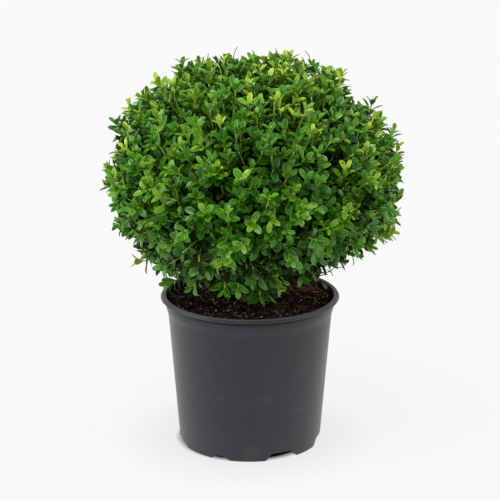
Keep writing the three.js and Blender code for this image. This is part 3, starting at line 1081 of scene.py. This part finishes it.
@dataclass
class Leaves:
    """Many leaves as arrays: place, heading, facing, size, curl and tone."""

    root: np.ndarray
    heading: np.ndarray
    facing: np.ndarray
    length: np.ndarray
    width: np.ndarray
    curl: np.ndarray
    tone: np.ndarray

    def take(self, keep: np.ndarray) -> "Leaves":
        """The leaves that a mask or an index picks."""
        return Leaves(*(getattr(self, part.name)[keep] for part in fields(self)))

    def shell(self, shape: LeafShape) -> Shell:
        """The leaves' surface: a strip three points wide, drawn to a point at both ends.

        A point at share u of the length and v from -1 to 1 across lies at
        root + h L sin(c u)/c + n (f |v| w - L (1 - cos(c u))/c) + a v w, where h is the
        heading, n the facing, a square to both, c the curl, f the fold, w the half width.

        Args:
            shape: The outline.

        Returns:
            One shell of all the leaves, charted from root to tip and side to side.
        """
        along = np.array(shape.stations)
        across = unit(np.cross(self.heading, self.facing))
        facing = unit(np.cross(across, self.heading))
        share = np.concatenate([[0.0], np.repeat(along, 3), [1.0]])
        side = np.concatenate([[0.0], np.tile([-1.0, 0.0, 1.0], len(along)), [0.0]])
        wide = np.concatenate([[0.0], np.repeat(shape.half_width(along), 3), [0.0]])
        curl = np.where(np.abs(self.curl) < 1e-3, 1e-3, self.curl)[:, None]
        length = self.length[:, None]
        ahead = length * np.sin(curl * share) / curl
        drop = length * (1 - np.cos(curl * share)) / curl
        half = self.width[:, None] / 2 * wide
        lift = shape.fold * np.abs(side) * half - drop
        points = self.root[:, None] + self.heading[:, None] * ahead[..., None]
        points = points + facing[:, None] * lift[..., None]
        points = points + across[:, None] * (side * half)[..., None]
        count = len(share)
        rows = len(along)
        shift = (np.arange(len(points)) * count)[:, None, None]
        quads = (grid_faces(rows, 3, False)[None] + 1 + shift).reshape(-1, 4)
        tip, last = count - 1, 1 + (rows - 1) * 3
        fans = np.array([[0, 2, 1], [0, 3, 2], [last, last + 1, tip], [last + 1, last + 2, tip]])
        fans = (fans[None] + shift).reshape(-1, 3)
        chart = np.stack([share, 0.5 + 0.5 * side], -1)
        return Shell(points.reshape(-1, 3), [quads, fans], np.tile(chart, (len(points), 1)))


@dataclass(frozen=True)
class ProudShoot:
    """A shoot that the shears missed.

    Place is its tip in millimetres from the pot's foot. Lean is its slope from upright in
    degrees, to the right as seen from the front, and forward its slope to the front. Tone
    is its place in the leaf tones.
    """

    place: tuple[float, float, float]
    lean: float
    tone: float
    forward: float = 0.0


PROUD_ROWS = (
    ((77, 0, 480), -12, 1.8),
    ((91, 0, 478), 22, 2.5),
    ((113, 0, 473), 15, 5.0),
    ((149, 0, 437), 12, 1.6),
    ((157, 0, 408), 25, 3.5),
    ((176, 0, 402), 8, 3.0),
    ((182, 0, 381), 8, 4.2),
    ((-83, 0, 486), -4, 2.2),
    ((57, 0, 484), 20, 3.4),
    ((-113, 0, 462), -35, 4.3),
    ((-131, 0, 443), -40, 4.0),
    ((-147, 0, 432), -10, 4.6),
    ((-164, 0, 410), -22, 2.0),
    ((-164, 0, 374), -50, 3.5),
    ((-175, 0, 355), -62, 4.4),
    ((-179, 0, 331), -80, 2.5),
    ((40, 0, 494), -5, 3.8),
    ((-32, 0, 489), 0, 4.5),
    ((-52, 0, 486), -5, 3.0),
    ((-70, 0, 480), -10, 2.5),
    ((8, 0, 490), 8, 3.2),
    ((-163, 0, 279), -98, 2.0),
    ((-148, 0, 268), -95, 2.0),
    ((-126, 0, 241), -105, 2.0),
    ((-138, 0, 233), -94, 4.3),
    ((-111, 0, 226), -120, 2.2),
    ((-101, -20, 210), -118, 2.4),
    ((183, 0, 317), 28, 3.2),
    ((178, 0, 293), 70, 3.0),
    ((176, 0, 271), 80, 4.6),
    ((168, 10, 262), 88, 4.6),
    ((146, 0, 254), 95, 3.0),
    ((134, 0, 241), 100, 2.5),
    ((118, 0, 232), 100, 2.2),
    ((98, 10, 227), 100, 1.5),
    ((72, 0, 216), 115, 2.0),
    ((-70, -72, 222), -140, 2.0, 0.6),
    ((-31, -88, 224), -170, 1.8, 0.7),
    ((-14, -92, 226), 170, 2.2, 0.7),
    ((12, -84, 214), 176, 1.2, 0.3),
    ((3, -80, 216), -176, 1.4, 0.4),
    ((-6, -74, 212), -172, 1.0, 0.2),
    ((20, -66, 210), 168, 1.2, 0.2),
    ((36, -80, 221), 140, 2.4, 0.6),
)
PROUD_SHOOTS = tuple(ProudShoot(*row) for row in PROUD_ROWS)

# Paths of bare dead twigs, in millimetres.
BARE_TWIGS = (
    ((-20.4, 0, 484.0), (-20.2, 0, 490.0), (-18.8, 0, 497.5), (-15.4, 0, 504.6)),
    ((73.4, 0, 484.0), (72.8, 0, 489.0), (71.2, 0, 494.2), (66.6, 0, 499.6)),
    ((32.0, 0, 492.0), (33.5, 0, 495.5), (32.6, 0, 499.0), (30.8, 0, 502.4)),
    ((80.4, 4, 211.9), (89.3, 4, 213.0), (94.3, 4, 215.2), (98.8, 4, 218.0)),
    ((98.8, 4, 218.0), (101.5, 4, 219.8), (103.7, 4, 221.5), (105.7, 4, 223.6)),
    ((98.8, 4, 217.9), (98.1, 4, 218.9), (97.5, 4, 219.8), (96.9, 4, 221.0)),
    ((93.8, 4, 215.0), (94.9, 4, 214.8), (96.3, 4, 214.5), (97.8, 4, 214.3)),
    ((89.1, 4, 228.0), (98.1, 4, 226.5), (105.9, 4, 224.5), (117.7, 4, 223.5)),
    ((97.5, 4, 226.2), (98.6, 4, 224.5), (99.5, 4, 222.7), (100.4, 4, 220.6)),
    ((100.4, 4, 219.2), (101.7, 4, 217.3), (102.8, 4, 214.8), (103.8, 4, 212.5)),
)

# How far out the clipping goes, every 10 degrees round the outline from the right.
TRIM_STEP = 10
TRIM = (
    1.012, 1.028, 1.020, 0.965, 0.945, 1.015, 1.030, 1.030, 1.020, 0.958, 0.998, 1.003,
    1.000, 0.978, 0.972, 1.000, 0.965, 0.955, 0.955, 0.925, 0.978, 0.918, 0.978, 1.000,
    0.972, 0.940, 0.930, 0.930, 0.930, 0.930, 0.930, 0.905, 0.920, 0.945, 1.026, 1.000,
)

# Pairs of leaves on a shoot: place along it, opening from it in radians, size as a share
# of the full size, and step in tone.
PAIRS = np.array(
    [
        (0.07, 1.20, 0.92, -1.8),
        (0.23, 1.12, 1.0, -1.3),
        (0.39, 1.02, 1.0, -0.8),
        (0.55, 0.92, 1.0, -0.35),
        (0.71, 0.80, 1.0, 0.05),
        (0.85, 0.66, 0.92, 0.45),
        (0.955, 0.46, 0.76, 0.9),
        (1.0, 0.18, 0.28, 1.9),
    ]
)

# How much a shoot's end turns upwards, by the upward part of the outline's normal.
RISE_AT = (-0.9, -0.4, 0.0, 0.5, 1.0)
RISE = (-0.05, 0.22, 0.55, 0.75, 0.6)


@dataclass(frozen=True)
class Habit:
    """How the plant grows: how far each of its ways strays, and how often."""

    aim_stray: float = 0.045
    lump: float = 0.012
    proud_share: float = 0.035
    proud_reach: float = 0.03
    sparse_below: float = -0.72
    sparse_share: float = 0.45
    end_stray: float = 0.30
    begin_stray: float = 0.22
    shoot_lengths: Span = (0.75, 1.15)
    limb_sway: float = 0.05
    node_stray: float = 0.10
    turn_stray: float = 0.22
    leaf_stray: float = 0.16
    skyward: float = 0.35
    vigour: Span = (0.82, 1.14)
    leaf_lengths: Span = (0.88, 1.1)
    leaf_widths: Span = (0.36, 0.46)
    curl: float = 0.35
    curl_stray: float = 0.25
    tone: float = 2.00
    shoot_tone_stray: float = 0.80
    pair_tone_stray: float = 0.22
    tone_drift: float = 0.42
    # Tones lighter higher up: partly fresher growth, partly painted top light.
    growth_and_light_by_height: float = 0.72
    growth_and_light_at_top: float = 0.55
    shade_by_depth: float = 2.2


@dataclass(frozen=True)
class ShootLayer:
    """Shoots of one depth: how many, their first turn, and their reach and its spread."""

    count: int
    turn: float
    reach: float
    spread: float


LAYERS = (
    ShootLayer(900, 0.0, 0.978, 0.070),
    ShootLayer(620, 1.7, 0.915, 0.080),
    ShootLayer(420, 3.1, 0.830, 0.080),
)


@dataclass
class Crown:
    """The clipped crown: limbs that fork from the stem, leafy shoots and their leaves.

    Shares are of the clipped outline, an ellipsoid round the centre.
    """

    centre: np.ndarray
    radius: float
    half_height: float
    floor: float
    stem: Stem
    nodes: int = 7
    shoot_length: float = 62 * MM
    shoot_radii: Span = (1.15, 0.85)
    bare_radii: Span = (0.75, 0.45)
    heart_rise: float = 34 * MM
    heart_radius: float = 5.2 * MM
    twig_radius: float = 0.75 * MM
    bough_radius: float = 2.0 * MM
    fork_share: float = 0.42
    leaf_length: float = 20.5 * MM
    leafless_share: float = 0.62
    leaves_in_piece: int = 8000
    view_tilt: float = 16.64
    seed: int = 20418
    shape: LeafShape = field(default_factory=LeafShape)
    habit: Habit = field(default_factory=Habit)

    def radii(self) -> np.ndarray:
        """The outline's three half sizes."""
        return np.array([self.radius, self.radius, self.half_height])

    def even_directions(self, count: int, turn: float) -> np.ndarray:
        """Even directions over a sphere by the golden angle."""
        index = np.arange(count)
        z = 1 - 2 * (index + 0.5) / count
        level = np.sqrt(1 - z**2)
        angle = index * math.pi * (3 - math.sqrt(5)) + turn
        return np.stack([np.cos(angle) * level, np.sin(angle) * level, z], -1)

    def trim(self, aim: np.ndarray) -> np.ndarray:
        """How far the hand clipping strays from the even outline, as a factor.

        The table runs round the outline as seen from the front, slightly from above; it
        counts fully at that outline and not at all in the middle. The underside is
        clipped shorter as it turns down.

        Args:
            aim: Unit directions in shares of the outline.

        Returns:
            One factor per direction.
        """
        tilt = math.radians(self.view_tilt)
        cos, sin = math.cos(tilt), math.sin(tilt)
        across = aim[:, 0] * self.radius
        rise = aim[:, 2] * self.half_height * cos + aim[:, 1] * self.radius * sin
        angle = np.degrees(np.arctan2(rise, across)) % 360
        high = math.hypot(self.half_height * cos, self.radius * sin)
        edge = np.hypot(across / self.radius, rise / high)
        table = np.interp(angle, np.arange(len(TRIM)) * TRIM_STEP, TRIM, period=360)
        under = np.clip((-aim[:, 2] - 0.60) / 0.35, 0, 1)
        return (1 + (table - 1) * edge**3) * (1 - 0.075 * under)

    def share(self, points: np.ndarray) -> np.ndarray:
        """How far out places lie, as a share of the clipped outline."""
        return np.linalg.norm((points - self.centre) / self.radii(), axis=-1)

    def clipped_shoots(self, rng: np.random.Generator) -> np.ndarray:
        """Tips and directions of the shoots that fill the clipped outline.

        Aims are spread evenly and shaken. The reach falls from the layer's own with
        spread r^1.3, for a random r, plus lumps; a few outer shoots reach past it.

        Args:
            rng: The seeded generator.

        Returns:
            Tip, direction at the end and direction at the start, shape (3, shoots, 3).
        """
        habit = self.habit
        aim = np.concatenate([self.even_directions(layer.count, layer.turn) for layer in LAYERS])
        aim = unit(aim + rng.normal(size=aim.shape) * habit.aim_stray)
        most = np.concatenate([np.full(layer.count, layer.reach) for layer in LAYERS])
        less = np.concatenate([np.full(layer.count, layer.spread) for layer in LAYERS])
        lumps = habit.lump * waves(aim, 0.9, 31) + habit.lump * waves(aim, 0.35, 32)
        reach = most - less * rng.random(len(aim)) ** 1.3 + lumps
        proud = (rng.random(len(aim)) < habit.proud_share) & (most == LAYERS[0].reach)
        past = 1.0 + habit.proud_reach * rng.random(len(aim))
        reach = np.where(proud, past, reach) * self.trim(aim)
        sparse = rng.random(len(aim)) < habit.sparse_share
        sparse &= aim[:, 2] < habit.sparse_below
        aim, reach = aim[~sparse], reach[~sparse]
        normal = unit(aim / self.radii())
        rise = np.interp(normal[:, 2], RISE_AT, RISE)
        end = normal + np.array([0, 0, 1.0]) * rise[:, None]
        end = unit(end + rng.normal(size=aim.shape) * habit.end_stray)
        begin = unit(end * 0.5 + normal + rng.normal(size=aim.shape) * habit.begin_stray)
        return np.stack([self.centre + aim * reach[:, None] * self.radii(), end, begin])

    def proud_shoots(self, rng: np.random.Generator) -> np.ndarray:
        """Tips and directions of the shoots that the shears missed.

        Args:
            rng: The seeded generator.

        Returns:
            Tip, direction at the end and direction at the start, shape (3, shoots, 3).
        """
        tips = np.array([shoot.place for shoot in PROUD_SHOOTS]) * MM
        lean = np.radians([shoot.lean for shoot in PROUD_SHOOTS])
        ahead = np.array([shoot.forward for shoot in PROUD_SHOOTS])
        end = unit(np.stack([np.sin(lean), -ahead, np.cos(lean)], -1))
        end = unit(end + rng.normal(size=tips.shape) * np.array([0.04, 0.12, 0.04]))
        begin = unit(unit(tips - self.centre) + 0.4 * end)
        return np.stack([tips - end * 2 * MM, end, begin])

    def shoot_paths(self, rng: np.random.Generator) -> tuple[np.ndarray, np.ndarray]:
        """Paths of all shoots, from their roots in the crown to their tips near the outline.

        A shoot comes to its tip t from inside, bending upwards above and spreading level
        below: t - 0.55 L (1 - s) e - 0.45 L (1 - s)^2 b, with e and b its directions at
        the end and at the start.

        Args:
            rng: The seeded generator.

        Returns:
            Paths, shape (shoots, nodes, 3), and a fixed tone or NaN for each.
        """
        clipped, proud = self.clipped_shoots(rng), self.proud_shoots(rng)
        tips, end, begin = np.concatenate([clipped, proud], axis=1)
        free = np.full(clipped.shape[1], np.nan)
        fixed = np.concatenate([free, [shoot.tone for shoot in PROUD_SHOOTS]])
        length = self.shoot_length * rng.uniform(*self.habit.shoot_lengths, len(tips))
        back = length[:, None, None]
        left = 1 - np.linspace(0, 1, self.nodes)[None, :, None]
        path = tips[:, None] - end[:, None] * left * back * 0.55
        return path - begin[:, None] * left**2 * back * 0.45, fixed

    def grow_limbs(self, roots: np.ndarray) -> tuple[np.ndarray, np.ndarray]:
        """Limbs by the forking rule: a set of shoots splits in two across its widest side.

        Each half gets a limb that goes part of the way to the half's middle, until one
        shoot is left, which the last limb reaches. A limb's radius in millimetres is
        0.8 + 0.125 times the root of the number of shoots it bears, and 4.8 at most.

        Args:
            roots: The shoots' roots.

        Returns:
            Limbs as start and end points, shape (limbs, 2, 3), and their end radii.
        """
        heart = self.stem.tip() + np.array([0, 0, self.heart_rise])
        ends = [(self.stem.tip(), heart)]
        radii = [(self.stem.tip_radius, self.heart_radius)]
        waiting = [(heart, np.arange(len(roots)), self.heart_radius)]
        while waiting:
            start, group, before = waiting.pop()
            if len(group) == 1:
                ends.append((start, roots[group[0]]))
                radii.append((before, self.twig_radius))
                continue
            places = roots[group]
            side = int(np.argmax(np.ptp(places, axis=0)))
            order = group[np.argsort(places[:, side], kind="stable")]
            half = (len(order) + 1) // 2
            for part in (order[:half], order[half:]):
                fork = start + (roots[part].mean(0) - start) * self.fork_share
                radius = min(4.8, 0.8 + 0.125 * math.sqrt(len(part))) * MM
                ends.append((start, fork))
                radii.append((min(before, radius * 1.25), radius))
                waiting.append((fork, part, radius))
        return np.array(ends), np.array(radii)

    def limb_shells(self, rng: np.random.Generator, roots: np.ndarray) -> tuple[Shell, Shell]:
        """Boughs and twigs as tapering tubes with a slight bend.

        Args:
            rng: The seeded generator.
            roots: The shoots' roots.

        Returns:
            The boughs' shell and the twigs' shell.
        """
        ends, radii = self.grow_limbs(roots)
        span = np.linalg.norm(ends[:, 1] - ends[:, 0], axis=1)
        steps = np.linspace(0, 1, 4)[None, :, None]
        path = ends[:, :1] * (1 - steps) + ends[:, 1:] * steps
        sway = rng.normal(size=(len(ends), 1, 3)) * span[:, None, None] * self.habit.limb_sway
        path = path + sway * 4 * steps * (1 - steps)
        thick = radii[:, :1] * (1 - steps[..., 0]) + radii[:, 1:] * steps[..., 0]
        bough = radii[:, 0] > self.bough_radius
        boughs = swept_tubes(path[bough], thick[bough], 10)
        return boughs, swept_tubes(path[~bough], thick[~bough], 4)

    def tapered(self, paths: np.ndarray, radii: Span, sides: int) -> Shell:
        """Tubes along paths that thin evenly from one radius to another, in millimetres."""
        thick = np.linspace(*radii, paths.shape[1])[None] * MM + np.zeros((len(paths), 1))
        return swept_tubes(paths, thick, sides)

    def grow_leaves(self, rng: np.random.Generator, paths: np.ndarray, fixed: np.ndarray) -> Leaves:
        """Leaves in crossed pairs at the shoots' nodes, closing to a tuft at each tip.

        A leaf's heading opens from the shoot by an angle that falls towards the tip, and
        its upper face looks up the shoot and towards the sky.

        Args:
            rng: The seeded generator.
            paths: The shoots' paths.
            fixed: A tone for each shoot, or NaN where it is dealt.

        Returns:
            All the leaves that stay in the crown's space.
        """
        spots, opening, sizes, _ = PAIRS.T
        habit = self.habit
        one = (len(paths), 1, 1)
        pair = (len(paths), len(PAIRS))
        leaf = (*pair, 2)
        at = spots[None, :] * (self.nodes - 1) + rng.normal(size=pair) * habit.node_stray
        at = np.clip(at, 0, self.nodes - 1.0001)
        low = np.floor(at).astype(int)
        part = (at - low)[..., None]
        row = np.arange(len(paths))[:, None]
        root = paths[row, low] * (1 - part) + paths[row, low + 1] * part
        along = unit(paths[row, low + 1] - paths[row, low])
        turn = rng.uniform(0, 2 * np.pi, len(paths))[:, None]
        turn = turn + np.arange(len(PAIRS))[None] * (np.pi / 2)
        turn = turn + rng.normal(size=pair) * habit.turn_stray
        helper = unit(rng.normal(size=(*one[:2], 3)) + 0 * along)
        first = unit(np.cross(along, helper))
        second = np.cross(along, first)
        away = first * np.cos(turn)[..., None] + second * np.sin(turn)[..., None]
        both = np.stack([away, -away], 2)
        along = np.repeat(along[:, :, None], 2, 2)
        angle = opening[None, :, None] + rng.normal(size=leaf) * habit.leaf_stray
        cos, sin = np.cos(angle)[..., None], np.sin(angle)[..., None]
        heading = along * cos + both * sin
        facing = along * sin - both * cos + np.array([0, 0, habit.skyward])
        facing = facing + rng.normal(size=facing.shape) * habit.leaf_stray
        high = (paths[:, -1, 2] - self.centre[2]) / self.half_height
        vigour = rng.uniform(*habit.vigour, one) * (0.94 - 0.10 * high)[:, None, None]
        length = self.leaf_length * sizes[None, :, None] * vigour
        length = length * rng.uniform(*habit.leaf_lengths, leaf)
        width = length * rng.uniform(*habit.leaf_widths, one)
        curl = rng.normal(size=leaf) * habit.curl_stray + habit.curl
        tone = self.deal_tones(rng, paths[:, -1], fixed)
        leaves = Leaves(
            root=np.repeat(root[:, :, None], 2, 2).reshape(-1, 3),
            heading=unit(heading).reshape(-1, 3),
            facing=unit(facing).reshape(-1, 3),
            length=length.ravel(),
            width=width.ravel(),
            curl=curl.ravel(),
            tone=np.repeat(tone[:, :, None], 2, 2).ravel(),
        )
        end = leaves.root + leaves.heading * leaves.length[:, None]
        inside = np.hypot(end[:, 0], end[:, 1]) < self.radius * 1.06
        inside &= (end[:, 2] > self.floor) & (end[:, 2] < self.centre[2] + self.half_height * 1.07)
        return leaves.take(inside & (self.share(end) > self.leafless_share))

    def deal_tones(
        self, rng: np.random.Generator, tips: np.ndarray, fixed: np.ndarray
    ) -> np.ndarray:
        """A tone for each pair of leaves, by spray: fresher at the tips, lighter higher up as
        fresher growth and as painted top light, and darker deeper in as painted shade.

        Args:
            rng: The seeded generator.
            tips: The shoots' tips.
            fixed: A tone for each shoot, or NaN where it is dealt.

        Returns:
            Tone numbers, shape (shoots, pairs).
        """
        habit = self.habit
        height = (tips[:, 2] - self.centre[2]) / self.half_height
        # Painted shade: shoots deeper inside the crown are dealt darker tones.
        depth = np.clip((self.share(tips) - 0.80) / 0.16, 0, 1)
        # Lighter higher up: partly fresher growth, partly painted top light.
        drift = habit.tone_drift * waves(tips, 70 * MM, 41) + habit.growth_and_light_by_height * height
        drift = drift + habit.growth_and_light_at_top * np.clip(height - 0.5, 0, 1)
        fresh = habit.tone + habit.shoot_tone_stray * rng.normal(size=len(tips))
        fresh = fresh + drift + habit.shade_by_depth * (depth - 0.85)
        fresh = np.where(np.isnan(fixed), fresh, fixed)[:, None]
        stray = rng.normal(size=(len(tips), len(PAIRS))) * habit.pair_tone_stray
        return np.clip(np.round(fresh + PAIRS[:, 3] + stray), 0, len(TONES) - 1).astype(int)

    def leaf_pieces(self, leaves: Leaves) -> list[tuple[str, Shell, LeafTone]]:
        """The leaves by tone, a large tone cut into sectors round the crown.

        Args:
            leaves: All the leaves.

        Returns:
            Name, shell and tone of each piece.
        """
        pieces = []
        for number, tone in enumerate(TONES):
            chosen = leaves.take(leaves.tone == number)
            parts = -(-len(chosen.length) // self.leaves_in_piece)
            sector = np.argsort(np.arctan2(chosen.root[:, 1], chosen.root[:, 0]), kind="stable")
            for part, members in enumerate(np.array_split(sector, parts), start=1):
                shell = chosen.take(members).shell(self.shape)
                pieces.append((f"leaves_{tone.name}_{part}", shell, tone))
        return pieces

    def build(self, kit: Kit) -> None:
        """Makes and dresses the limbs, shoots and leaves."""
        rng = np.random.default_rng(self.seed)
        paths, fixed = self.shoot_paths(rng)
        boughs, twigs = self.limb_shells(rng, paths[:, 0])
        bare = np.array(BARE_TWIGS) * MM
        pieces = [
            ("boughs", boughs, BARK),
            ("twigs", twigs, SHOOT_BARK),
            ("green_shoots", self.tapered(paths, self.shoot_radii, 4), GREEN_STEM),
            ("bare_twigs", self.tapered(bare, self.bare_radii, 6), DEAD_TWIG),
        ]
        leaves = self.grow_leaves(rng, paths, fixed)
        for name, shell, finish in pieces + self.leaf_pieces(leaves):
            add_piece(name, shell, kit.dress(finish), "crown")
        LOG.info("%d leaves in all", len(leaves.length))


# ------------------------------------------------------------------ studio


@dataclass(frozen=True)
class Sun:
    """A broad, even light: its side, height and spread in degrees, and its strength."""

    name: str
    side: float
    height: float
    spread: float
    strength: float

    def build(self) -> None:
        """Hangs the light."""
        data = bpy.data.lights.new(self.name, "SUN")
        data.angle = math.radians(self.spread)
        data.energy = self.strength
        lamp = bpy.data.objects.new(self.name, data)
        lamp.rotation_euler = (math.radians(90 - self.height), 0.0, math.radians(self.side))
        bpy.context.scene.collection.objects.link(lamp)


SUNS = (
    Sun("key", -26.0, 66.0, 28.0, 1.88),
    Sun("left", -80.0, 13.0, 50.0, 1.62),
    Sun("right", 78.0, 13.0, 50.0, 0.98),
)


@dataclass
class Studio:
    """Camera, soft light and the pale floor.

    The floor glows faintly, to stay as pale as the surround, and less so close to the pot,
    as a painted contact shadow, in a ring that the two glow spans give by distance from the
    foot's middle, which is set a little to the left so that the painted shadow reaches further
    there.
    """

    target_height: float = 0.2477
    distance: float = 2.505
    elevation: float = 16.64
    lens: float = 144.7
    sensor: float = 36.0
    far_clip: float = 60.0
    surround: float = 0.54
    floor_size: float = 9.0
    floor_dark: Color = (0.048, 0.048, 0.048, 1.0)
    floor_light: Color = (0.052, 0.052, 0.052, 1.0)
    foot_middle: tuple[float, float, float] = (-5 * MM, 0.0, 0.0)
    # Glow spans by distance from the foot's middle: the low glow near the pot is a painted contact
    # shadow.
    glow_with_contact_shadow: tuple[Span, Span] = ((78.5 * MM, 90.5 * MM), (0.0, 0.786))
    glow_with_shadow_fade: tuple[Span, Span] = ((90 * MM, 172 * MM), (0.0, 0.086))
    white: Color = (1.0, 1.0, 1.0, 1.0)

    def add_camera(self) -> None:
        """Stands the camera in front, above the plant, looking at the pot's rim."""
        tilt = math.radians(self.elevation)
        camera = bpy.data.objects.new("camera", bpy.data.cameras.new("camera"))
        camera.data.lens = self.lens
        camera.data.sensor_width = self.sensor
        camera.data.clip_end = self.far_clip
        rise = self.target_height + self.distance * math.sin(tilt)
        camera.location = (0.0, -self.distance * math.cos(tilt), rise)
        camera.rotation_euler = (math.pi / 2 - tilt, 0.0, 0.0)
        bpy.context.scene.collection.objects.link(camera)
        bpy.context.scene.camera = camera

    def add_floor(self) -> None:
        """Lays the pale floor, its glow dimmed near the pot as a painted contact shadow."""
        material, nodes, shader = start_material("floor_pale")
        place_in = nodes.place()
        tone = nodes.spread(nodes.noise(place_in, 1.5, 2.0), (0.3, 0.7), (0.0, 1.0))
        away = nodes.add("ShaderNodeVectorMath", operation="DISTANCE")
        nodes.feed(away, {0: place_in, 1: self.foot_middle})
        # Painted contact shadow: the glow falls away towards the pot's foot.
        near = nodes.spread(away.outputs["Value"], *self.glow_with_contact_shadow)
        far = nodes.spread(away.outputs["Value"], *self.glow_with_shadow_fade)
        look = {
            "Base Color": nodes.mix(tone, self.floor_dark, self.floor_light),
            "Emission Strength": nodes.math("ADD", near, far),
            "Emission Color": self.white,
            "Roughness": 0.8,
            "Specular IOR Level": 0.1,
        }
        nodes.feed(shader, look)
        corners = np.array([[-1.0, -1, 0], [1, -1, 0], [1, 1, 0], [-1, 1, 0]]) * self.floor_size
        make_piece("floor", Shell(corners, [np.array([[0, 1, 2, 3]])]), material)

    def add_world(self) -> None:
        """Lights everything softly from a white surround."""
        world = bpy.data.worlds.new("studio")
        world.use_nodes = True
        background = world.node_tree.nodes["Background"]
        Nodes(world.node_tree).feed(background, {"Color": self.white, "Strength": self.surround})
        bpy.context.scene.world = world

    def build(self) -> None:
        """Sets the whole studio up."""
        bpy.context.scene.view_settings.view_transform = "Standard"
        self.add_camera()
        self.add_world()
        for sun in SUNS:
            sun.build()
        self.add_floor()


def corners_of(box: tuple) -> tuple[np.ndarray, np.ndarray]:
    """A box's low and high corner as arrays."""
    low, high = box
    return np.array(low), np.array(high)


def main() -> None:
    """Builds the studio and the plant, piece by piece."""
    logging.basicConfig(level=logging.INFO, format="%(name)s: %(message)s")
    kit = Kit()
    Studio().build()
    _, high = corners_of(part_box("pot"))
    Pot(rim_radius=float(high[0]) + 0.9 * MM, height=float(high[2])).build(kit)
    Compost(*corners_of(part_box("compost"))).build(kit)
    low, _ = corners_of(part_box("main_stem"))
    stem = Stem(foot=float(low[2]))
    stem.build(kit)
    low, high = corners_of(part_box("crown"))
    top, bottom = high[2] - 6.5 * MM, low[2] - 2 * MM
    centre = (low + high) / 2
    centre[2] = (top + bottom) / 2
    radius = float(high[0] - low[0] + high[1] - low[1]) / 4 + 5 * MM
    crown = Crown(centre, radius, float(top - bottom) / 2, float(low[2] - 4 * MM), stem)
    crown.build(kit)


if __name__ == "__main__":
    main()
